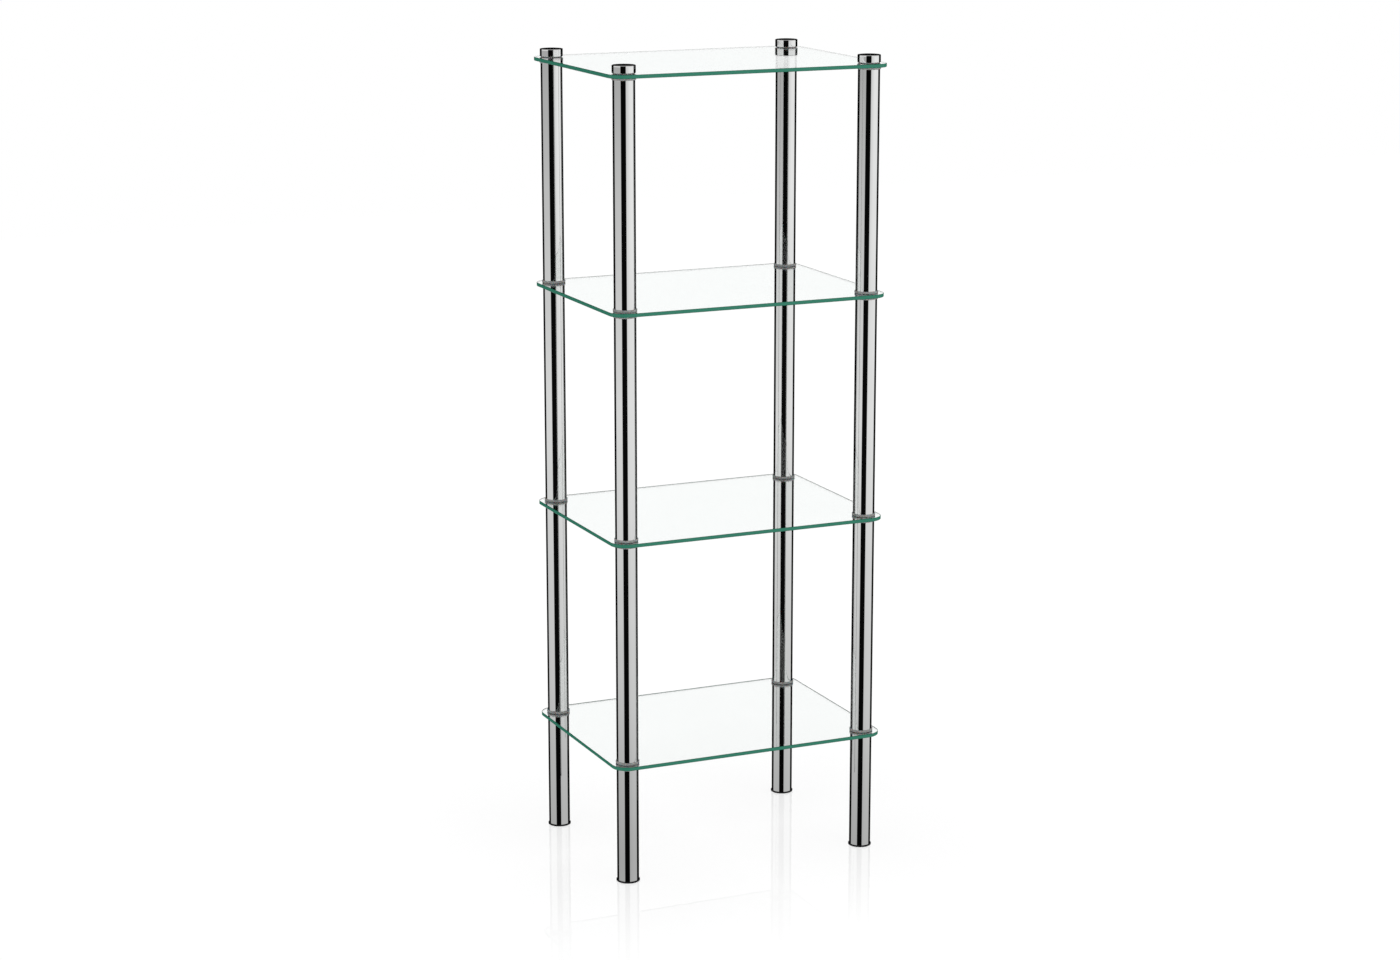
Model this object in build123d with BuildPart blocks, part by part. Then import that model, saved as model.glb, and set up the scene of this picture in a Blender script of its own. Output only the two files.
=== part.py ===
"""Free-standing display tower: four glass shelves on four posts of chrome tube.

Each post is a stack of tubes joined by threaded studs that pass through holes in the glass.
A plastic washer lies on each side of every sheet, a chrome cap ends each post, and a
levelling foot screws into each leg.

Frame: millimetres, +Z up, origin on the floor below the middle of the tower.
X runs along the shelves' long side, Y along their depth, and the front faces -Y.
"""

from build123d import *
import os

os.makedirs("parts", exist_ok=True)

# ---- driving dimensions -------------------------------------------------------------------
GLASS_WIDTH = 400.0
GLASS_DEPTH = 300.0
GLASS_THICKNESS = 5.0
GLASS_CORNER_R = 22.0
GLASS_HOLE_R = 6.0
GLASS_EDGE_BEVEL = 0.5

POST_INSET = 23.3  # from the glass edge to the post's axis
TUBE_R = 15.0
TUBE_WALL = 1.0
TUBE_END_BEVEL = 0.3
LEG_TUBE_LENGTH = 158.0
BAY_TUBE_LENGTH = 298.0
BAYS = 3

WASHER_R = 16.0
WASHER_THICKNESS = 3.0
CAP_WASHER_R = 14.5
CAP_WASHER_THICKNESS = 1.0
COLLAR_CLEARANCE = 0.15  # between a washer's collar and the glass hole

CAP_R = 15.8
CAP_HEIGHT = 10.0
CAP_BEVEL = 0.6
CAP_HOLE_DEPTH = 8.0

# M8 threads, drawn as plain cylinders
STUD_R = 4.0
STUD_END_BEVEL = 0.6
THREAD_CLEARANCE = 0.05
STUD_ENGAGEMENT = 10.0  # how far a joining stud goes into each tube
CAP_STUD_ENGAGEMENT = 7.0

INSERT_LENGTH = 12.0
PRESS_CLEARANCE = 0.03

# levelling foot: a plastic pad with a steel stud held captive in its boss
PAD_R = 16.0
PAD_THICKNESS = 2.0
PAD_BEVEL = 0.4
PAD_BOSS_R = 7.5
PAD_BOSS_HEIGHT = 5.0
PAD_KEY_HOLE_R = 2.8
FOOT_HEAD_R = 5.5
FOOT_HEAD_THICKNESS = 2.0
FOOT_HEAD_FLOOR = 0.8  # plastic left under the captive head
FOOT_HEAD_CLEARANCE = 0.1
FOOT_STUD_TOP = 30.0
HEX_KEY_ACROSS_FLATS = 4.0
HEX_SOCKET_DEPTH = 4.0
FOOT_INSERT_LENGTH = 22.0
FOOT_INSERT_RECESS_R = 8.0
FOOT_INSERT_RECESS_DEPTH = 5.5

# ---- derived dimensions -------------------------------------------------------------------
POST_SPACING_X = GLASS_WIDTH - 2 * POST_INSET
POST_SPACING_Y = GLASS_DEPTH - 2 * POST_INSET
BORE_R = STUD_R + THREAD_CLEARANCE
INSERT_R = TUBE_R - TUBE_WALL - PRESS_CLEARANCE

LEG_BASE = PAD_THICKNESS
LEG_TOP = LEG_BASE + LEG_TUBE_LENGTH
FIRST_GLASS = LEG_TOP + WASHER_THICKNESS
SHELF_STEP = BAY_TUBE_LENGTH + 2 * WASHER_THICKNESS + GLASS_THICKNESS

POSTS = {
    "front_left": (-POST_SPACING_X / 2, -POST_SPACING_Y / 2),
    "front_right": (POST_SPACING_X / 2, -POST_SPACING_Y / 2),
    "rear_left": (-POST_SPACING_X / 2, POST_SPACING_Y / 2),
    "rear_right": (POST_SPACING_X / 2, POST_SPACING_Y / 2),
}
LEVELS = ["bottom", "lower", "upper", "top"]
# height of each sheet's underside, by level
GLASS_UNDERSIDE = {name: FIRST_GLASS + i * SHELF_STEP for i, name in enumerate(LEVELS)}
GLASS_TOP = {name: z + GLASS_THICKNESS for name, z in GLASS_UNDERSIDE.items()}
# tiers of tube: name, height of the tube's lower end, length
TIERS = [("leg", LEG_BASE, LEG_TUBE_LENGTH)] + [
    (tier, GLASS_TOP[level] + WASHER_THICKNESS, BAY_TUBE_LENGTH)
    for tier, level in zip(["lower", "middle", "upper"], LEVELS[:BAYS])
]


def save(part, name):
    """Label a finished piece and write it as its own file."""
    part.label = name
    export_step(part, f"parts/{name}.step")


def post_grid():
    """The four post axes."""
    return GridLocations(POST_SPACING_X, POST_SPACING_Y, 2, 2)


# ---- glass shelves ------------------------------------------------------------------------
def glass_shelf(name, underside):
    """A sheet with rounded corners, eased edges and a hole for each post's stud."""
    with BuildPart() as shelf:
        with BuildSketch(Plane.XY.offset(underside)):
            RectangleRounded(GLASS_WIDTH, GLASS_DEPTH, GLASS_CORNER_R)
            with post_grid():
                Circle(GLASS_HOLE_R, mode=Mode.SUBTRACT)
        extrude(amount=GLASS_THICKNESS)
        faces = shelf.faces().filter_by(Axis.Z)
        rims = [face.outer_wire().edges() for face in faces]
        chamfer([edge for rim in rims for edge in rim], GLASS_EDGE_BEVEL)
    save(shelf.part, name)


for level in LEVELS:
    glass_shelf(f"{level}_shelf_glass", GLASS_UNDERSIDE[level])


# ---- post tubes ---------------------------------------------------------------------------
def post_tube(name, x, y, base, length):
    """One length of chromed steel tube with eased outer ends."""
    with BuildPart() as tube:
        with BuildSketch(Plane.XY.offset(base)):
            with Locations((x, y)):
                Circle(TUBE_R)
                Circle(TUBE_R - TUBE_WALL, mode=Mode.SUBTRACT)
        extrude(amount=length)
        outer_rims = tube.edges().filter_by(GeomType.CIRCLE).sort_by(SortBy.RADIUS)[-2:]
        chamfer(outer_rims, TUBE_END_BEVEL)
    save(tube.part, name)


for post, (x, y) in POSTS.items():
    for tier, base, length in TIERS:
        post_tube(f"{post}_{tier}_tube", x, y, base, length)


# ---- threaded inserts in the tube ends ------------------------------------------------------
def tube_inserts(name, base):
    """Four plugs, one in each post's tube at this height, with a threaded hole right through."""
    with BuildPart() as inserts:
        with BuildSketch(Plane.XY.offset(base)):
            with post_grid():
                Circle(INSERT_R)
                Circle(BORE_R, mode=Mode.SUBTRACT)
        extrude(amount=INSERT_LENGTH)
    save(inserts.part, name)


def foot_inserts(name, base):
    """Four longer plugs in the leg ends, recessed below to take the feet's bosses."""
    with BuildPart() as inserts:
        with BuildSketch(Plane.XY.offset(base)):
            with post_grid():
                Circle(INSERT_R)
                Circle(BORE_R, mode=Mode.SUBTRACT)
        extrude(amount=FOOT_INSERT_LENGTH)
        with BuildSketch(Plane.XY.offset(base)):
            with post_grid():
                Circle(FOOT_INSERT_RECESS_R)
        extrude(amount=FOOT_INSERT_RECESS_DEPTH, mode=Mode.SUBTRACT)
    save(inserts.part, name)


for tier, base, length in TIERS:
    if tier == "leg":
        foot_inserts("leg_tube_foot_inserts", base)
    else:
        tube_inserts(f"{tier}_tube_bottom_inserts", base)
    tube_inserts(f"{tier}_tube_top_inserts", base + length - INSERT_LENGTH)


# ---- washers on both sides of the glass ------------------------------------------------------
def collar_washers(name, glass_underside):
    """Four washers under a sheet, each with a collar that fills the hole in the glass."""
    with BuildPart() as washers:
        with BuildSketch(Plane.XY.offset(glass_underside - WASHER_THICKNESS)):
            with post_grid():
                Circle(WASHER_R)
                Circle(BORE_R, mode=Mode.SUBTRACT)
        extrude(amount=WASHER_THICKNESS)
        with BuildSketch(Plane.XY.offset(glass_underside)):
            with post_grid():
                Circle(GLASS_HOLE_R - COLLAR_CLEARANCE)
                Circle(BORE_R, mode=Mode.SUBTRACT)
        extrude(amount=GLASS_THICKNESS)
    save(washers.part, name)


def plain_washers(name, base, radius, thickness):
    """Four flat washers standing on a sheet."""
    with BuildPart() as washers:
        with BuildSketch(Plane.XY.offset(base)):
            with post_grid():
                Circle(radius)
                Circle(BORE_R, mode=Mode.SUBTRACT)
        extrude(amount=thickness)
    save(washers.part, name)


for level in LEVELS:
    collar_washers(f"{level}_shelf_under_washers", GLASS_UNDERSIDE[level])
for level in LEVELS[:BAYS]:
    plain_washers(f"{level}_shelf_over_washers", GLASS_TOP[level], WASHER_R, WASHER_THICKNESS)
plain_washers("cap_washers", GLASS_TOP["top"], CAP_WASHER_R, CAP_WASHER_THICKNESS)


# ---- studs that join the tubes through the glass ----------------------------------------------
def joining_studs(name, base, top):
    """Four headless studs, one on each post's axis."""
    with BuildPart() as studs:
        with BuildSketch(Plane.XY.offset(base)):
            with post_grid():
                Circle(STUD_R)
        extrude(amount=top - base)
        chamfer(studs.edges().filter_by(GeomType.CIRCLE), STUD_END_BEVEL)
    save(studs.part, name)


CAP_BASE = GLASS_TOP["top"] + CAP_WASHER_THICKNESS
for level in LEVELS:
    stud_base = GLASS_UNDERSIDE[level] - WASHER_THICKNESS - STUD_ENGAGEMENT
    if level == "top":
        stud_top = CAP_BASE + CAP_STUD_ENGAGEMENT
    else:
        stud_top = GLASS_TOP[level] + WASHER_THICKNESS + STUD_ENGAGEMENT
    joining_studs(f"{level}_shelf_studs", stud_base, stud_top)


# ---- caps on the top shelf --------------------------------------------------------------------
def post_cap(name, x, y):
    """A drum with an eased rim and a blind threaded hole in its underside."""
    with BuildPart() as cap:
        with BuildSketch(Plane.XY.offset(CAP_BASE)):
            with Locations((x, y)):
                Circle(CAP_R)
        extrude(amount=CAP_HEIGHT)
        chamfer(cap.edges().group_by(Axis.Z)[-1], CAP_BEVEL)
        with BuildSketch(Plane.XY.offset(CAP_BASE)):
            with Locations((x, y)):
                Circle(BORE_R)
        extrude(amount=CAP_HOLE_DEPTH, mode=Mode.SUBTRACT)
    save(cap.part, name)


for post, (x, y) in POSTS.items():
    post_cap(f"{post}_cap", x, y)

# ---- levelling feet -----------------------------------------------------------------------------
HEAD_POCKET_BASE = FOOT_HEAD_FLOOR
HEAD_BASE = HEAD_POCKET_BASE + FOOT_HEAD_CLEARANCE
HEAD_TOP = HEAD_BASE + FOOT_HEAD_THICKNESS
HEAD_POCKET_HEIGHT = FOOT_HEAD_THICKNESS + 2 * FOOT_HEAD_CLEARANCE


def foot_pad(name, x, y):
    """A disc with a hollow boss: the stud's head turns in the pocket inside."""
    with BuildPart() as pad:
        with BuildSketch(Plane.XY):
            with Locations((x, y)):
                Circle(PAD_R)
        extrude(amount=PAD_THICKNESS)
        chamfer(pad.edges().group_by(Axis.Z)[0], PAD_BEVEL)
        with BuildSketch(Plane.XY.offset(PAD_THICKNESS)):
            with Locations((x, y)):
                Circle(PAD_BOSS_R)
        extrude(amount=PAD_BOSS_HEIGHT)
        with BuildSketch(Plane.XY):
            with Locations((x, y)):
                Circle(PAD_KEY_HOLE_R)
        extrude(amount=HEAD_POCKET_BASE, mode=Mode.SUBTRACT)
        with BuildSketch(Plane.XY.offset(HEAD_POCKET_BASE)):
            with Locations((x, y)):
                Circle(FOOT_HEAD_R + FOOT_HEAD_CLEARANCE)
        extrude(amount=HEAD_POCKET_HEIGHT, mode=Mode.SUBTRACT)
        with BuildSketch(Plane.XY.offset(HEAD_POCKET_BASE + HEAD_POCKET_HEIGHT)):
            with Locations((x, y)):
                Circle(BORE_R)
        extrude(amount=PAD_BOSS_HEIGHT, mode=Mode.SUBTRACT)
    save(pad.part, name)


def foot_stud(name, x, y):
    """A stud with a round head and a hexagon socket that a key reaches from below."""
    with BuildPart() as stud:
        with BuildSketch(Plane.XY.offset(HEAD_BASE)):
            with Locations((x, y)):
                Circle(FOOT_HEAD_R)
        extrude(amount=FOOT_HEAD_THICKNESS)
        with BuildSketch(Plane.XY.offset(HEAD_TOP)):
            with Locations((x, y)):
                Circle(STUD_R)
        extrude(amount=FOOT_STUD_TOP - HEAD_TOP)
        chamfer(stud.edges().group_by(Axis.Z)[-1], STUD_END_BEVEL)
        with BuildSketch(Plane.XY.offset(HEAD_BASE)):
            with Locations((x, y)):
                RegularPolygon(HEX_KEY_ACROSS_FLATS / 2, 6, major_radius=False)
        extrude(amount=HEX_SOCKET_DEPTH, mode=Mode.SUBTRACT)
    save(stud.part, name)


for post, (x, y) in POSTS.items():
    foot_pad(f"{post}_foot_pad", x, y)
    foot_stud(f"{post}_foot_stud", x, y)

print(f"height {CAP_BASE + CAP_HEIGHT:.1f} mm, shelf step {SHELF_STEP:.1f} mm")
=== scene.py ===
"""Looks for a free-standing glass shelf tower on chromed posts.

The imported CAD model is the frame. The tubes, caps, shelf washers, glass sheets and foot screws
are replaced by finer meshes of the same size. The foot pads, inserts, joining studs and the washers
under the caps keep their CAD meshes and get materials. Everything is in metres in the CAD's own
frame, with the front at -Y.
"""

import math

import bmesh
import bpy
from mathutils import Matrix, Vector


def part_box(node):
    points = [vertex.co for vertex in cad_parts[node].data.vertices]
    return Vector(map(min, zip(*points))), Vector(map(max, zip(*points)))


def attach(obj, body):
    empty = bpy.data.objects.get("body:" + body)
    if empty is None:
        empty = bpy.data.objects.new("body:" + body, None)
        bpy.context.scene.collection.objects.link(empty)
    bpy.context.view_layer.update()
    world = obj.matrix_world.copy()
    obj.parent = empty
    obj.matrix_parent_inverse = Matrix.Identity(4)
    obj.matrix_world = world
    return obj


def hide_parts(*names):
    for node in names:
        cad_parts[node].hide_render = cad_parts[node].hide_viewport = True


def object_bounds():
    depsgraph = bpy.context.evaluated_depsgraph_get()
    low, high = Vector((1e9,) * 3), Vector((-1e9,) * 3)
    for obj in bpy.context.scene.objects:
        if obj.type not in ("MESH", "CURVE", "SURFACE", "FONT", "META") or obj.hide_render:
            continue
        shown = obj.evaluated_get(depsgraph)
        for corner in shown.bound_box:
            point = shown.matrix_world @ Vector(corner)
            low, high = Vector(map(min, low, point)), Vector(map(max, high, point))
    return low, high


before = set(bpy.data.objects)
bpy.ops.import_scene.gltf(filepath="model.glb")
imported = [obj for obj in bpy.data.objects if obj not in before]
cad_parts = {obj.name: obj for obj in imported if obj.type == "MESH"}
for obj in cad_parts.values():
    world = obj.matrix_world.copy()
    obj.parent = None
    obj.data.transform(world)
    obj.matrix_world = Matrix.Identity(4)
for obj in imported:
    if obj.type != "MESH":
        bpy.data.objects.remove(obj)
cad_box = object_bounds()

# ---- places and sizes -----------------------------------------------------------------------
POSTS = ["front_left", "front_right", "rear_left", "rear_right"]
LEVELS = ["bottom", "lower", "upper", "top"]
TIERS = ["leg", "lower", "middle", "upper"]
MM = 0.001

TUBE_WALL = 1.0 * MM
LIP_EASE = 0.3 * MM  # rounding of a tube's lips, a cap's foot and a screw's head
CAP_RIM = 1.2 * MM
CAP_HOLE_DEPTH = 8.0 * MM
BORE_RADIUS = 4.05 * MM
GLASS_CORNER_RADIUS = 22.0 * MM
GLASS_HOLE_RADIUS = 6.0 * MM
GLASS_ARRIS = 0.5 * MM
GLASS_THICKNESS = 5.0 * MM
COLLAR_RADIUS = 5.85 * MM
WASHER_EASE = 0.5 * MM
AIR_FILM = 0.02 * MM  # left between a washer and the glass that it touches
THREAD_PITCH = 1.25 * MM
THREAD_DEPTH = 0.68 * MM
THREAD_STEPS = 8  # rings of mesh for each turn of thread
SCREW_RADIUS = 4.0 * MM
SCREW_HEAD_THICKNESS = 2.0 * MM
SCREW_END_BEVEL = 0.6 * MM
HEX_ACROSS_FLATS = 4.0 * MM
HEX_SOCKET_DEPTH = 4.0 * MM

ROUND_STEPS = 96  # facets round a tube, a cap or a washer
SCREW_FACETS = 36
HOLE_STEPS = 48
CORNER_STEPS = 20
EASE_STEPS = 4
SHARP_ANGLE = math.radians(30)

NOISE_LOW, NOISE_HIGH = 0.3, 0.7  # nearly all of a noise texture lies between these
GLASS_GREEN = (0.19, 0.63, 0.52, 1)
GLASS_GREEN_DENSITY = 8.0

FLOOR_HALF = 6.0
FLOOR_GAP = 0.2 * MM  # from the foot discs down to the floor
FLOOR_CLEARNESS = 0.92
POLISH_REACH = 0.36  # from a post's axis to where the floor stops mirroring
POLISH_CORE = 0.01
POLISH_POWER = 4.0  # the floor mirrors less the more steeply it is seen

STUDIO_TURN = 24.15  # degrees from the tower's front to the studio's
BRIGHTEST = 1.13  # of the studio as polished metal and glass mirror it, where 1 is white
FLAGS = [(-160, -108), (-31, 21), (107, 160)]  # edges of each black flag, in degrees from the front
REAR_FLAG = [(-190, -108), (107, 190)]  # for upward light off metal, one flag closes the rear
FLAG_GREY = 0.004
HORIZON = math.sin(math.radians(3))  # height, of 1 straight up, where the flags begin to fade in

SOFTBOX_SIZE = (1.6, 1.2)
SOFTBOX_WATTS = 12.0
SOFTBOX_PLACE = (0.9, -1.6, 2.6)
SOFTBOX_AIM = (0, 0, 0.5)

CAMERA_PLACE = (-1.548, -3.427, 1.342)  # in tower heights, from the floor below the tower's middle
CAMERA_PITCH = 13.11  # degrees below level
CAMERA_LENS = 79.3  # millimetres, on a sensor 36 millimetres wide
CAMERA_SENSOR = 36.0

POST_AXES = {}
for post in POSTS:
    low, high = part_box(f"{post}_cap")
    POST_AXES[post] = Vector(((low.x + high.x) / 2, (low.y + high.y) / 2))


# ---- material nodes -------------------------------------------------------------------------
def new_material(name):
    """A node material, its tree and its Principled shader."""
    material = bpy.data.materials.new(name)
    material.use_nodes = True
    tree = material.node_tree
    return material, tree, tree.nodes["Principled BSDF"]


def place_pattern(tree, squeeze):
    """The object's own coordinates in metres, times squeeze along each axis."""
    coordinates = tree.nodes.new("ShaderNodeTexCoord")
    mapping = tree.nodes.new("ShaderNodeMapping")
    mapping.inputs["Scale"].default_value = squeeze
    tree.links.new(coordinates.outputs["Object"], mapping.inputs["Vector"])
    return mapping.outputs["Vector"]


def noise(tree, scale, detail=3.0, squeeze=(1, 1, 1)):
    """A noise value; scale is in features per metre."""
    texture = tree.nodes.new("ShaderNodeTexNoise")
    texture.inputs["Scale"].default_value = scale
    texture.inputs["Detail"].default_value = detail
    tree.links.new(place_pattern(tree, squeeze), texture.inputs["Vector"])
    return texture.outputs["Fac"]


def ranged(tree, value, low, high):
    """A noise value spread over low to high."""
    spread = tree.nodes.new("ShaderNodeMapRange")
    spread.inputs["From Min"].default_value = NOISE_LOW
    spread.inputs["From Max"].default_value = NOISE_HIGH
    spread.inputs["To Min"].default_value = low
    spread.inputs["To Max"].default_value = high
    tree.links.new(value, spread.inputs["Value"])
    return spread.outputs["Result"]


def blended(tree, value, dark, light):
    """A colour from dark to light by a noise value."""
    ramp = tree.nodes.new("ShaderNodeValToRGB")
    ramp.color_ramp.elements[0].position = NOISE_LOW
    ramp.color_ramp.elements[0].color = (*dark, 1)
    ramp.color_ramp.elements[1].position = NOISE_HIGH
    ramp.color_ramp.elements[1].color = (*light, 1)
    tree.links.new(value, ramp.inputs["Fac"])
    return ramp.outputs["Color"]


def bumped(tree, shader, height, depth):
    """Relief on the shader's surface, depth metres from lowest to highest."""
    bump = tree.nodes.new("ShaderNodeBump")
    bump.inputs["Distance"].default_value = depth
    tree.links.new(height, bump.inputs["Height"])
    tree.links.new(bump.outputs["Normal"], shader.inputs["Normal"])


def mixed(tree, first, second, share):
    """first with share of it taken from second."""
    total = tree.nodes.new("ShaderNodeMix")
    total.inputs["Factor"].default_value = share
    tree.links.new(first, total.inputs["A"])
    tree.links.new(second, total.inputs["B"])
    return total.outputs["Result"]


def maths(tree, operation, *values):
    """A Math node's result. Each value is a number or the output of another node."""
    sums = tree.nodes.new("ShaderNodeMath")
    sums.operation = operation
    for socket, value in zip(sums.inputs, values):
        if isinstance(value, float):
            socket.default_value = value
        else:
            tree.links.new(value, socket)
    return sums.outputs["Value"]


def inverted(tree, value):
    """1 less value."""
    return maths(tree, "SUBTRACT", 1.0, value)


def from_to(tree, value, low, high):
    """0 to 1 as value goes from low to high."""
    spread = tree.nodes.new("ShaderNodeMapRange")
    spread.inputs["From Min"].default_value = low
    spread.inputs["From Max"].default_value = high
    tree.links.new(value, spread.inputs["Value"])
    return spread.outputs["Result"]


def split_axes(tree, vector):
    """The X, Y and Z of a vector."""
    split = tree.nodes.new("ShaderNodeSeparateXYZ")
    tree.links.new(vector, split.inputs["Vector"])
    return split.outputs


# ---- materials ------------------------------------------------------------------------------
def chrome(name, dark, light):
    """Bright chrome plate: clouded a little, with fine draw lines along the post."""
    material, tree, shader = new_material(name)
    shader.inputs["Metallic"].default_value = 1.0
    clouds = noise(tree, 14, detail=4)
    lines = noise(tree, 300, detail=2, squeeze=(1, 1, 0.01))
    tint = mixed(tree, clouds, lines, 0.5)
    tree.links.new(blended(tree, tint, dark, light), shader.inputs["Base Color"])
    tree.links.new(ranged(tree, clouds, 0.008, 0.03), shader.inputs["Roughness"])
    bumped(tree, shader, noise(tree, 40, detail=2, squeeze=(1, 1, 0.1)), 0.8e-6)
    return material


def clear_glass():
    """Float glass: almost clear through its thickness, green along its length."""
    material, tree, shader = new_material("clear_float_glass")
    shader.inputs["Transmission Weight"].default_value = 1.0
    shader.inputs["Roughness"].default_value = 0.0
    shader.inputs["IOR"].default_value = 1.5
    handling = noise(tree, 9, detail=5)
    tint = blended(tree, handling, (0.964, 0.96, 0.958), (0.98, 0.974, 0.973))
    tree.links.new(tint, shader.inputs["Base Color"])
    bumped(tree, shader, noise(tree, 5, detail=1), 1.5e-6)
    absorb_green(tree)
    return material


def absorb_green(tree):
    """The green of the sheet's own depth."""
    absorption = tree.nodes.new("ShaderNodeVolumeAbsorption")
    absorption.inputs["Color"].default_value = GLASS_GREEN
    absorption.inputs["Density"].default_value = GLASS_GREEN_DENSITY
    tree.links.new(absorption.outputs["Volume"], tree.nodes["Material Output"].inputs["Volume"])


def glass_edge():
    """The polished edge of the sheet: a painted teal on the flat stands in for the green light seen along the
    sheet, and painted shade darkens each arris.
    """
    material, tree, shader = new_material("green_glass_edge")
    # Painted shade: the further a face tilts from upright, the darker the ramp makes it, so each arris is
    # darker than the flat.
    normal = tree.nodes.new("ShaderNodeNewGeometry").outputs["Normal"]
    upright = maths(tree, "ABSOLUTE", split_axes(tree, normal)["Z"])
    grinding = noise(tree, 160, detail=3, squeeze=(1, 1, 8))
    shade = mixed(tree, upright, grinding, 0.25)
    # Painted light and shade: the teal stands in for the green light seen along the sheet, and the dark green
    # is painted shade on the arrises.
    ramp = tree.nodes.new("ShaderNodeValToRGB")
    ramp.color_ramp.elements[0].position = 0.1
    ramp.color_ramp.elements[0].color = (0.034, 0.188, 0.126, 1)
    ramp.color_ramp.elements[1].position = 0.65
    ramp.color_ramp.elements[1].color = (0.008, 0.085, 0.05, 1)
    tree.links.new(shade, ramp.inputs["Fac"])
    tree.links.new(ramp.outputs["Color"], shader.inputs["Base Color"])
    tree.links.new(ranged(tree, grinding, 0.06, 0.16), shader.inputs["Roughness"])
    shader.inputs["Transmission Weight"].default_value = 0.05
    shader.inputs["IOR"].default_value = 1.2
    absorb_green(tree)
    return material


def washer_plastic():
    """Milky grey polymer that lets a little light into its rim."""
    material, tree, shader = new_material("milky_washer_plastic")
    mottle = noise(tree, 260, detail=4)
    colour = blended(tree, mottle, (0.25, 0.26, 0.26), (0.33, 0.34, 0.335))
    tree.links.new(colour, shader.inputs["Base Color"])
    tree.links.new(ranged(tree, mottle, 0.34, 0.5), shader.inputs["Roughness"])
    shader.inputs["Subsurface Weight"].default_value = 0.25
    shader.inputs["Subsurface Scale"].default_value = 0.002
    bumped(tree, shader, noise(tree, 2400, detail=2), 8e-6)
    return material


def moulded_plastic(name, dark, light, grain_depth):
    """Moulded plastic with a fine spark-eroded grain."""
    material, tree, shader = new_material(name)
    flow = noise(tree, 120, detail=3)
    tree.links.new(blended(tree, flow, dark, light), shader.inputs["Base Color"])
    tree.links.new(ranged(tree, flow, 0.55, 0.7), shader.inputs["Roughness"])
    shader.inputs["Specular IOR Level"].default_value = 0.15
    bumped(tree, shader, noise(tree, 2600, detail=3), grain_depth)
    return material


def zinc_steel(name, threaded):
    """Zinc-plated steel. threaded adds the relief of a thread to a plain shank."""
    material, tree, shader = new_material(name)
    shader.inputs["Metallic"].default_value = 1.0
    spangle = noise(tree, 420, detail=4)
    colour = blended(tree, spangle, (0.50, 0.51, 0.53), (0.66, 0.66, 0.65))
    tree.links.new(colour, shader.inputs["Base Color"])
    tree.links.new(ranged(tree, spangle, 0.22, 0.38), shader.inputs["Roughness"])
    if threaded:
        turns = tree.nodes.new("ShaderNodeTexWave")
        turns.bands_direction = "Z"
        turns.wave_profile = "TRI"
        turns.inputs["Scale"].default_value = math.pi / (10 * THREAD_PITCH)
        tree.links.new(place_pattern(tree, (1, 1, 1)), turns.inputs["Vector"])
        bumped(tree, shader, turns.outputs["Fac"], THREAD_DEPTH)
    else:
        bumped(tree, shader, spangle, 4e-6)
    return material


TUBE_CHROME = chrome("tube_chrome_plate", (0.66, 0.665, 0.66), (0.72, 0.725, 0.72))
CAP_CHROME = chrome("cap_chrome_plate", (0.67, 0.675, 0.67), (0.73, 0.735, 0.73))
GLASS = clear_glass()
GLASS_EDGE = glass_edge()
WASHER = washer_plastic()
INSERT = moulded_plastic("insert_nylon", (0.05, 0.05, 0.052), (0.10, 0.10, 0.10), 12e-6)
FOOT = moulded_plastic("foot_plastic", (0.008, 0.008, 0.009), (0.016, 0.016, 0.017), 18e-6)
JOINING_STEEL = zinc_steel("joining_stud_steel", threaded=True)
SCREW_STEEL = zinc_steel("foot_screw_steel", threaded=False)


# ---- turned pieces --------------------------------------------------------------------------
def eased(corners):
    """A closed outline from corners of (radius, height, ease).

    Each corner is rounded from ease before it to ease past it. A point twice as far out on each
    side keeps the flats flat where the smooth shading starts.
    """
    points = []
    for i, (radius, height, ease) in enumerate(corners):
        here = Vector((radius, height))
        if ease == 0:
            points.append(here)
            continue
        back = (Vector(corners[i - 1][:2]) - here).normalized()
        onward = (Vector(corners[(i + 1) % len(corners)][:2]) - here).normalized()
        points.append(here + back * 2 * ease)
        for step in range(EASE_STEPS + 1):
            t = step / EASE_STEPS
            points.append(here + back * ease * (1 - t) ** 2 + onward * ease * t**2)
        points.append(here + onward * 2 * ease)
    return points


def add_rings(mesh, rings, closed):
    """Joins rings of points with quads. closed joins the last ring to the first."""
    loops = [[mesh.verts.new(point) for point in ring] for ring in rings]
    pairs = list(zip(loops, loops[1:]))
    if closed:
        pairs.append((loops[-1], loops[0]))
    for lower, upper in pairs:
        for i in range(len(lower)):
            after = (i + 1) % len(lower)
            mesh.faces.new((lower[i], lower[after], upper[after], upper[i]))
    return loops


def add_lid(mesh, loop, point):
    """Closes a ring with a fan of faces to one point."""
    tip = mesh.verts.new(point)
    for i, vertex in enumerate(loop):
        mesh.faces.new((vertex, loop[(i + 1) % len(loop)], tip))


def finished(mesh, name, materials, body, nodes):
    """Makes the piece from its mesh, and hangs it on its body in place of its CAD nodes."""
    bmesh.ops.recalc_face_normals(mesh, faces=mesh.faces)
    data = bpy.data.meshes.new(name)
    mesh.to_mesh(data)
    mesh.free()
    data.shade_smooth()
    data.set_sharp_from_angle(angle=SHARP_ANGLE)
    for material in materials:
        data.materials.append(material)
    piece = bpy.data.objects.new(name, data)
    bpy.context.scene.collection.objects.link(piece)
    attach(piece, body)
    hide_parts(*nodes)


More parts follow.
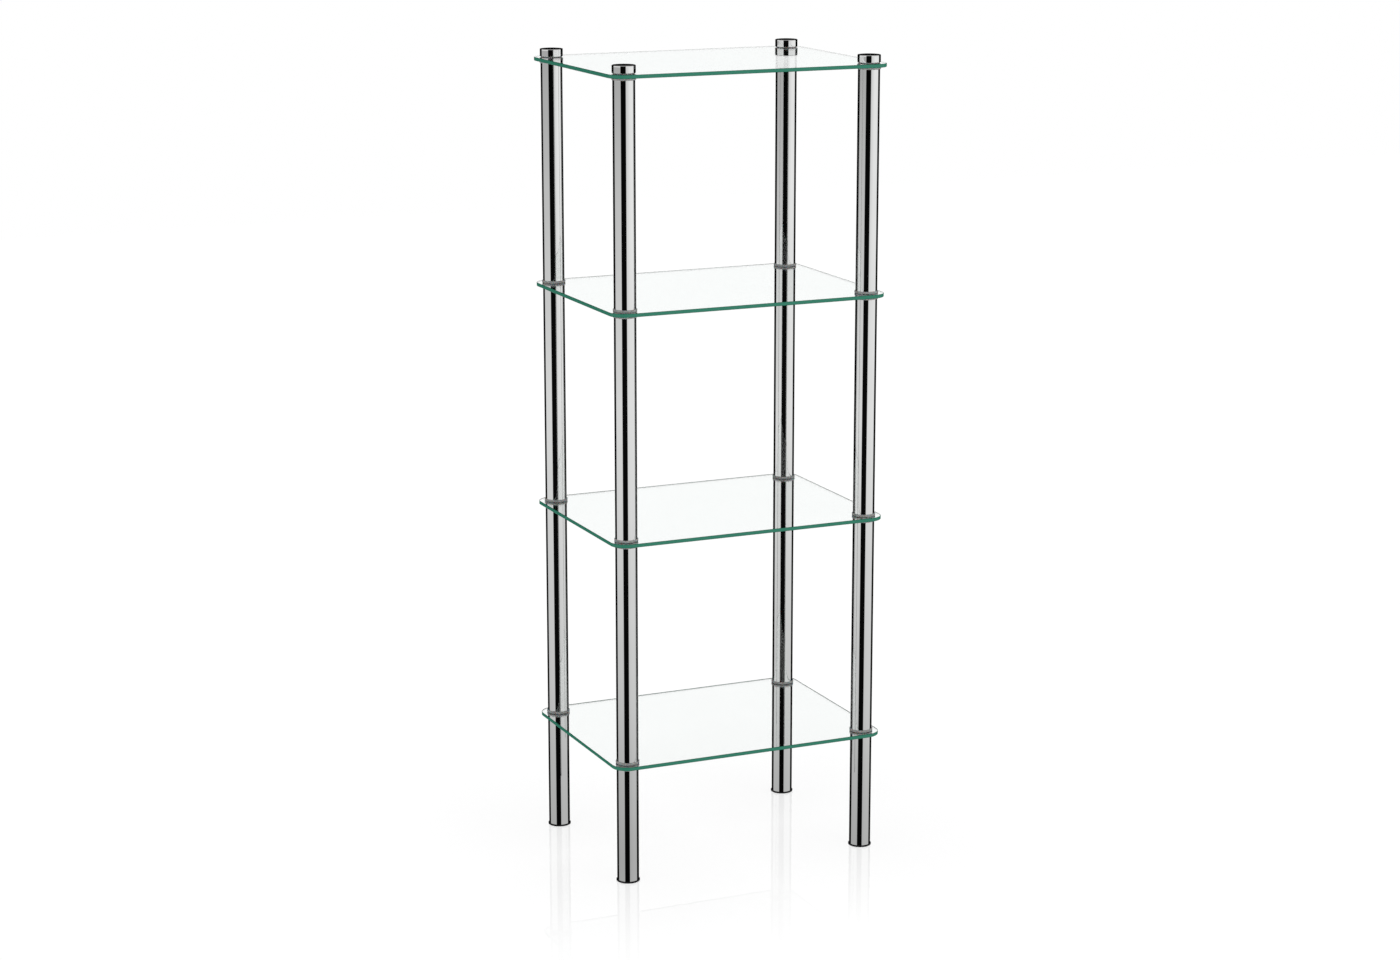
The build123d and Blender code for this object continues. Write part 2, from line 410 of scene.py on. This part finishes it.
def add_turned(mesh, outline, axis):
    """Turns an outline of (radius, height) round an upright axis.

    An outline that has two points on the axis is closed there by a lid at each end.
    """
    on_axis = [i for i, point in enumerate(outline) if point[0] == 0]
    start = on_axis[-1] + 1 if on_axis else 0
    order = [outline[(start + i) % len(outline)] for i in range(len(outline))]
    profile = [point for point in order if point[0] > 0]
    turns = [2 * math.pi * i / ROUND_STEPS for i in range(ROUND_STEPS)]
    rings = [
        [(axis.x + r * math.cos(a), axis.y + r * math.sin(a), z) for a in turns] for r, z in profile
    ]
    loops = add_rings(mesh, rings, closed=not on_axis)
    if on_axis:
        add_lid(mesh, loops[0], (axis.x, axis.y, profile[0][1]))
        add_lid(mesh, loops[-1], (axis.x, axis.y, profile[-1][1]))


def tube(node, post):
    """A post tube with rounded lips."""
    low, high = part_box(node)
    outer = (high.x - low.x) / 2
    inner = outer - TUBE_WALL
    corners = [
        (inner, low.z, LIP_EASE / 2),
        (outer, low.z, LIP_EASE),
        (outer, high.z, LIP_EASE),
        (inner, high.z, LIP_EASE / 2),
    ]
    mesh = bmesh.new()
    add_turned(mesh, eased(corners), POST_AXES[post])
    finished(mesh, f"{node}_chromed", [TUBE_CHROME], "tower", [node])


def cap(post):
    """A drum cap with a rounded rim and a blind hole below."""
    node = f"{post}_cap"
    low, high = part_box(node)
    radius = (high.x - low.x) / 2
    hole_top = low.z + CAP_HOLE_DEPTH
    corners = [
        (0, hole_top, 0),
        (BORE_RADIUS, hole_top, 0),
        (BORE_RADIUS, low.z, 0),
        (radius, low.z, LIP_EASE),
        (radius, high.z, CAP_RIM),
        (0, high.z, 0),
    ]
    mesh = bmesh.new()
    add_turned(mesh, eased(corners), POST_AXES[post])
    finished(mesh, f"{node}_chromed", [CAP_CHROME], "tower", [node])


def washers(node, collar, gap_below, gap_above):
    """Four flat washers with rounded rims. collar is the height of the sleeve in the glass hole."""
    low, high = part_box(node)
    radius = (high.x - low.x) / 2 - POST_AXES["front_right"].x
    base = low.z + gap_below
    face = high.z - collar - gap_above
    corners = [
        (BORE_RADIUS, base, 0),
        (radius, base, WASHER_EASE),
        (radius, face, WASHER_EASE),
    ]
    if collar:
        corners += [(COLLAR_RADIUS, face, 0), (COLLAR_RADIUS, high.z, 0), (BORE_RADIUS, high.z, 0)]
    else:
        corners.append((BORE_RADIUS, face, 0))
    outline = eased(corners)
    mesh = bmesh.new()
    for axis in POST_AXES.values():
        add_turned(mesh, outline, axis)
    finished(mesh, f"{node}_moulded", [WASHER], "tower", [node])


# ---- glass ----------------------------------------------------------------------------------
def sheet_outline(low, high, inset):
    """Points round a rectangle with rounded corners, inset metres inside its box."""
    radius = GLASS_CORNER_RADIUS - inset
    points = []
    for quarter, (x, y) in enumerate([(high.x, high.y), (low.x, high.y), (low.x, low.y), (high.x, low.y)]):
        centre_x = x - math.copysign(GLASS_CORNER_RADIUS, x)
        centre_y = y - math.copysign(GLASS_CORNER_RADIUS, y)
        for step in range(CORNER_STEPS + 1):
            angle = (quarter + step / CORNER_STEPS) * math.pi / 2
            points.append((centre_x + radius * math.cos(angle), centre_y + radius * math.sin(angle)))
    return points


def hole_outline(axis, inset):
    """Points round a hole, inset metres outside its wall."""
    radius = GLASS_HOLE_RADIUS + inset
    turns = [2 * math.pi * i / HOLE_STEPS for i in range(HOLE_STEPS)]
    return [(axis.x + radius * math.cos(a), axis.y + radius * math.sin(a)) for a in turns]


def glass_sheet(level):
    """A sheet with ground and polished edges, an arris above and below, and four drilled holes."""
    node = f"{level}_shelf_glass"
    low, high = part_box(node)
    steps = [(GLASS_ARRIS, low.z), (0, low.z + GLASS_ARRIS), (0, high.z - GLASS_ARRIS), (GLASS_ARRIS, high.z)]
    mesh = bmesh.new()
    faces_below, faces_above = [], []
    outlines = [lambda inset: sheet_outline(low, high, inset)]
    outlines += [lambda inset, axis=axis: hole_outline(axis, inset) for axis in POST_AXES.values()]
    for outline in outlines:
        rings = [[(x, y, z) for x, y in outline(inset)] for inset, z in steps]
        loops = add_rings(mesh, rings, closed=False)
        for loop, edges in ((loops[0], faces_below), (loops[-1], faces_above)):
            edges += [mesh.edges.get((loop[i - 1], loop[i])) for i in range(len(loop))]
    for face in mesh.faces:
        face.material_index = 1
    bmesh.ops.triangle_fill(mesh, use_beauty=True, edges=faces_below)
    bmesh.ops.triangle_fill(mesh, use_beauty=True, edges=faces_above)
    finished(mesh, f"{node}_polished", [GLASS, GLASS_EDGE], "tower", [node])


# ---- levelling feet -------------------------------------------------------------------------
def thread_radius(z, angle, base, top):
    """Radius of a right-hand thread that runs out at both ends of its shank.

    Each turn has a flat crest and a flat root, a sixth of the pitch each, and straight flanks.
    """
    phase = (z / THREAD_PITCH - angle / (2 * math.pi)) % 1
    groove = min(1, max(0, abs(2 * phase - 1) * 1.5 - 0.25))
    run_out = min(1, (z - base) / THREAD_PITCH, (top - z) / SCREW_END_BEVEL)
    plain = SCREW_RADIUS - SCREW_END_BEVEL * max(0, 1 - (top - z) / SCREW_END_BEVEL)
    return plain - THREAD_DEPTH * groove * max(0, run_out)


def foot_screw(post):
    """A threaded shank on a round head with a hexagon socket from below."""
    node = f"{post}_foot_stud"
    axis = POST_AXES[post]
    low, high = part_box(node)
    head_radius = (high.x - low.x) / 2
    head_top = low.z + SCREW_HEAD_THICKNESS
    socket_top = low.z + HEX_SOCKET_DEPTH
    turns = [2 * math.pi * i / SCREW_FACETS for i in range(SCREW_FACETS)]

    def ring(z, radius):
        return [(axis.x + radius(a) * math.cos(a), axis.y + radius(a) * math.sin(a), z) for a in turns]

    def hexagon(angle):
        return HEX_ACROSS_FLATS / 2 / math.cos(angle % (math.pi / 3) - math.pi / 6)

    rings = [ring(socket_top, hexagon), ring(low.z, hexagon)]
    for radius, z in [
        (head_radius - LIP_EASE, low.z),
        (head_radius, low.z + LIP_EASE),
        (head_radius, head_top - LIP_EASE),
        (head_radius - LIP_EASE, head_top),
        (SCREW_RADIUS, head_top),
    ]:
        rings.append(ring(z, lambda angle, radius=radius: radius))
    count = round((high.z - head_top) / THREAD_PITCH * THREAD_STEPS)
    for i in range(1, count + 1):
        z = head_top + (high.z - head_top) * i / count
        rings.append(ring(z, lambda angle, z=z: thread_radius(z, angle, head_top, high.z)))
    mesh = bmesh.new()
    loops = add_rings(mesh, rings, closed=False)
    add_lid(mesh, loops[0], (axis.x, axis.y, socket_top))
    add_lid(mesh, loops[-1], (axis.x, axis.y, high.z))
    finished(mesh, f"{node}_threaded", [SCREW_STEEL], f"{post}_foot_screw", [node])


def dress(node, material):
    """A CAD node keeps its mesh and gets a material."""
    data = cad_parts[node].data
    data.materials.clear()
    data.materials.append(material)


for post in POSTS:
    for tier in TIERS:
        tube(f"{post}_{tier}_tube", post)
    cap(post)
    foot_screw(post)
    dress(f"{post}_foot_pad", FOOT)
for level in LEVELS:
    glass_sheet(level)
    washers(f"{level}_shelf_under_washers", GLASS_THICKNESS, 0, AIR_FILM)
    dress(f"{level}_shelf_studs", JOINING_STEEL)
for level in LEVELS[:-1]:
    washers(f"{level}_shelf_over_washers", 0, AIR_FILM, 0)
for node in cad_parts:
    if node.endswith("_inserts"):
        dress(node, INSERT)
dress("cap_washers", WASHER)


# ---- stage ----------------------------------------------------------------------------------
def add_panel(name, corners, material):
    """A flat four-sided stage panel."""
    data = bpy.data.meshes.new(name)
    data.from_pydata(corners, [], [(0, 1, 2, 3)])
    data.materials.append(material)
    panel = bpy.data.objects.new(name, data)
    bpy.context.scene.collection.objects.link(panel)
    return panel


def floor_material():
    """White acrylic floor: pale, faintly mirroring round each foot. What is below it shows through."""
    material, tree, shader = new_material("pale_floor")
    shader.inputs["Base Color"].default_value = (0.93, 0.93, 0.93, 1)
    shader.inputs["Roughness"].default_value = 0.9
    shader.inputs["Specular IOR Level"].default_value = 0.0
    shader.inputs["Emission Color"].default_value = (1, 1, 1, 1)
    shader.inputs["Emission Strength"].default_value = 0.4
    gloss = tree.nodes.new("ShaderNodeBsdfGlossy")
    gloss.inputs["Roughness"].default_value = 0.0
    clear = tree.nodes.new("ShaderNodeBsdfTransparent")
    see_through = tree.nodes.new("ShaderNodeMixShader")
    see_through.inputs["Fac"].default_value = FLOOR_CLEARNESS
    tree.links.new(shader.outputs["BSDF"], see_through.inputs[1])
    tree.links.new(clear.outputs["BSDF"], see_through.inputs[2])
    position = tree.nodes.new("ShaderNodeTexCoord").outputs["Object"]
    nearest = None
    for axis in POST_AXES.values():
        distance = tree.nodes.new("ShaderNodeVectorMath")
        distance.operation = "DISTANCE"
        distance.inputs[1].default_value = (*axis, 0)
        tree.links.new(position, distance.inputs[0])
        away = distance.outputs["Value"]
        nearest = maths(tree, "MINIMUM", nearest, away) if nearest else away
    facing = tree.nodes.new("ShaderNodeLayerWeight").outputs["Facing"]
    underneath = tree.nodes.new("ShaderNodeNewGeometry").outputs["Backfacing"]
    share = from_to(tree, nearest, POLISH_REACH, POLISH_CORE)
    share = maths(tree, "MULTIPLY", share, maths(tree, "POWER", facing, POLISH_POWER))
    share = maths(tree, "MULTIPLY", share, inverted(tree, underneath))
    polished = tree.nodes.new("ShaderNodeMixShader")
    tree.links.new(share, polished.inputs["Fac"])
    tree.links.new(see_through.outputs["Shader"], polished.inputs[1])
    tree.links.new(gloss.outputs["BSDF"], polished.inputs[2])
    tree.links.new(polished.outputs["Shader"], tree.nodes["Material Output"].inputs["Surface"])
    return material


def add_floor():
    """A wide floor just under the feet. Mirrored light sees the studio below instead of it."""
    level = cad_box[0].z - FLOOR_GAP
    corners = [(x * FLOOR_HALF, y * FLOOR_HALF, level) for x, y in [(-1, -1), (1, -1), (1, 1), (-1, 1)]]
    floor = add_panel("floor", corners, floor_material())
    floor.visible_glossy = False
    floor.visible_shadow = False


def reflected_only(tree, light_path):
    """1 for light that polished metal, glass or floor mirrors, and 0 for all other light."""
    mirrored = maths(tree, "GREATER_THAN", light_path["Glossy Depth"], 0.5)
    sharp = maths(tree, "SUBTRACT", mirrored, light_path["Is Diffuse Ray"])
    return maths(tree, "MAXIMUM", sharp, 0.0)


def shade_ramp(tree, value, stops):
    """Greys along a value from 0 to 1: stops are (value, grey)."""
    ramp = tree.nodes.new("ShaderNodeValToRGB")
    shades = ramp.color_ramp
    for _ in stops[2:]:
        shades.elements.new(0.5)
    for i, (place, grey) in enumerate(stops):
        shades.elements[i].color = (grey, grey, grey, 1)
        shades.elements[i].position = place
    tree.links.new(value, ramp.inputs["Fac"])
    return ramp.outputs["Color"]


def studio_bearing(tree, direction):
    """0 to 1 once round the studio, from its back and past its left side; 0.5 is its front."""
    turned = tree.nodes.new("ShaderNodeVectorRotate")
    turned.rotation_type = "Z_AXIS"
    turned.inputs["Angle"].default_value = math.radians(STUDIO_TURN)
    tree.links.new(direction, turned.inputs["Vector"])
    axes = split_axes(tree, turned.outputs["Vector"])
    frontward = maths(tree, "MULTIPLY", axes["Y"], -1.0)
    bearing = maths(tree, "ARCTAN2", axes["X"], frontward)
    return from_to(tree, bearing, -math.pi, math.pi)


def flag_ramp(tree, bearing, flags):
    """White round the studio, and black between the edges of each flag."""
    stops = []
    for start, end in flags:
        edges = [(start - 1, 1), (start + 1, FLAG_GREY), (end - 1, FLAG_GREY), (end + 1, 1)]
        stops += [(degrees / 360 + 0.5, grey) for degrees, grey in edges if abs(degrees) <= 180]
    return shade_ramp(tree, bearing, stops)


def darkened(tree, colour, shade, share):
    """The colour times that share of the shade."""
    product = tree.nodes.new("ShaderNodeMix")
    product.data_type = "RGBA"
    product.blend_type = "MULTIPLY"
    tree.links.new(share, product.inputs["Factor"])
    tree.links.new(colour, product.inputs["A"])
    tree.links.new(shade, product.inputs["B"])
    return product.outputs["Result"]


def wall_greys(tree, height, direction_x):
    """Greys of the walls and ceiling by height: stops are (degrees above level, grey)."""
    white = 1 / BRIGHTEST
    below = [(-90, white), (-45, white), (-30, 0.5)]
    left = [(-20, 0.46), (-17, 0.66), (-12, 0.86), (-8, 0.64), (-5, 0.45)]
    right = [(-20, 0.52), (-17, 0.72), (-12, 0.92), (-8, 0.97), (-5, 0.97)]
    above = [(0, white), (28, white), (36, 0.1), (48, 0.14), (62, 0.45), (90, 0.6)]
    across = tree.nodes.new("ShaderNodeMix")
    across.data_type = "RGBA"
    tree.links.new(from_to(tree, direction_x, -0.6, 0.6), across.inputs["Factor"])
    for side, wall in (("A", left), ("B", right)):
        stops = [((math.sin(math.radians(rise)) + 1) / 2, grey) for rise, grey in below + wall + above]
        tree.links.new(shade_ramp(tree, height, stops), across.inputs[side])
    return across.outputs["Result"]


def add_world():
    """A white studio.

    Mirrored light sees walls that dim towards the floor, a ceiling with a dark band low round it,
    and upright black flags. Light that glass or the floor mirrors upwards once doesn't see the
    flags, so the sheets and the floor stay clear. All other light sees plain white.
    """
    world = bpy.data.worlds.new("studio")
    world.use_nodes = True
    world.cycles.sampling_method = "NONE"
    bpy.context.scene.world = world
    tree = world.node_tree
    plain = tree.nodes["Background"]
    plain.inputs["Color"].default_value = (1, 1, 1, 1)
    direction = tree.nodes.new("ShaderNodeTexCoord").outputs["Generated"]
    axes = split_axes(tree, direction)
    rise = axes["Z"]
    light_path = tree.nodes.new("ShaderNodeLightPath").outputs
    twice = maths(tree, "GREATER_THAN", light_path["Glossy Depth"], 1.5)
    # The sheets' faces and the floor are exactly sharp mirrors. Metal is a little rough, which tells
    # its light from theirs.
    rough = inverted(tree, light_path["Is Singular Ray"])
    from_metal = maths(tree, "MULTIPLY", light_path["Is Reflection Ray"], rough)
    low_sky = from_to(tree, rise, math.sin(math.radians(40)), math.sin(math.radians(25)))
    from_metal = maths(tree, "MULTIPLY", from_metal, low_sky)
    below_horizon = from_to(tree, rise, HORIZON, HORIZON / 2)
    in_sight = maths(tree, "MAXIMUM", maths(tree, "MAXIMUM", below_horizon, twice), from_metal)
    above_horizon = from_to(tree, rise, 0, HORIZON / 3)
    rear_in_sight = maths(tree, "MULTIPLY", from_metal, above_horizon)
    bearing = studio_bearing(tree, direction)
    walls = wall_greys(tree, from_to(tree, rise, -1.0, 1.0), axes["X"])
    walls = darkened(tree, walls, flag_ramp(tree, bearing, FLAGS), in_sight)
    walls = darkened(tree, walls, flag_ramp(tree, bearing, REAR_FLAG), rear_in_sight)
    mirrored = tree.nodes.new("ShaderNodeBackground")
    mirrored.inputs["Strength"].default_value = BRIGHTEST
    tree.links.new(walls, mirrored.inputs["Color"])
    choose = tree.nodes.new("ShaderNodeMixShader")
    tree.links.new(reflected_only(tree, light_path), choose.inputs["Fac"])
    tree.links.new(plain.outputs["Background"], choose.inputs[1])
    tree.links.new(mirrored.outputs["Background"], choose.inputs[2])
    tree.links.new(choose.outputs["Shader"], tree.nodes["World Output"].inputs["Surface"])


def add_softbox():
    """A broad soft light high in front, for a little shape on the plastic."""
    data = bpy.data.lights.new("softbox", "AREA")
    data.shape = "RECTANGLE"
    data.size, data.size_y = SOFTBOX_SIZE
    data.energy = SOFTBOX_WATTS
    lamp = bpy.data.objects.new("softbox", data)
    lamp.location = SOFTBOX_PLACE
    aim = Vector(SOFTBOX_AIM) - lamp.location
    lamp.rotation_euler = aim.to_track_quat("-Z", "Y").to_euler()
    lamp.visible_glossy = False
    bpy.context.scene.collection.objects.link(lamp)


def add_camera():
    """The camera, at the photograph's angle and facing along the studio's own front to back."""
    height = cad_box[1].z - cad_box[0].z
    data = bpy.data.cameras.new("camera")
    data.sensor_fit = "HORIZONTAL"
    data.sensor_width = CAMERA_SENSOR
    data.lens = CAMERA_LENS
    camera = bpy.data.objects.new("camera", data)
    camera.location = Vector(CAMERA_PLACE) * height
    yaw = math.radians(STUDIO_TURN)
    pitch = math.radians(CAMERA_PITCH)
    aim = Vector((math.sin(yaw) * math.cos(pitch), math.cos(yaw) * math.cos(pitch), -math.sin(pitch)))
    camera.rotation_euler = aim.to_track_quat("-Z", "Y").to_euler()
    bpy.context.scene.collection.objects.link(camera)
    bpy.context.scene.camera = camera


add_floor()
add_world()
add_softbox()
add_camera()

scene = bpy.context.scene
scene.view_settings.view_transform = "Standard"
scene.cycles.max_bounces = 96
scene.cycles.glossy_bounces = 64
scene.cycles.transmission_bounces = 64
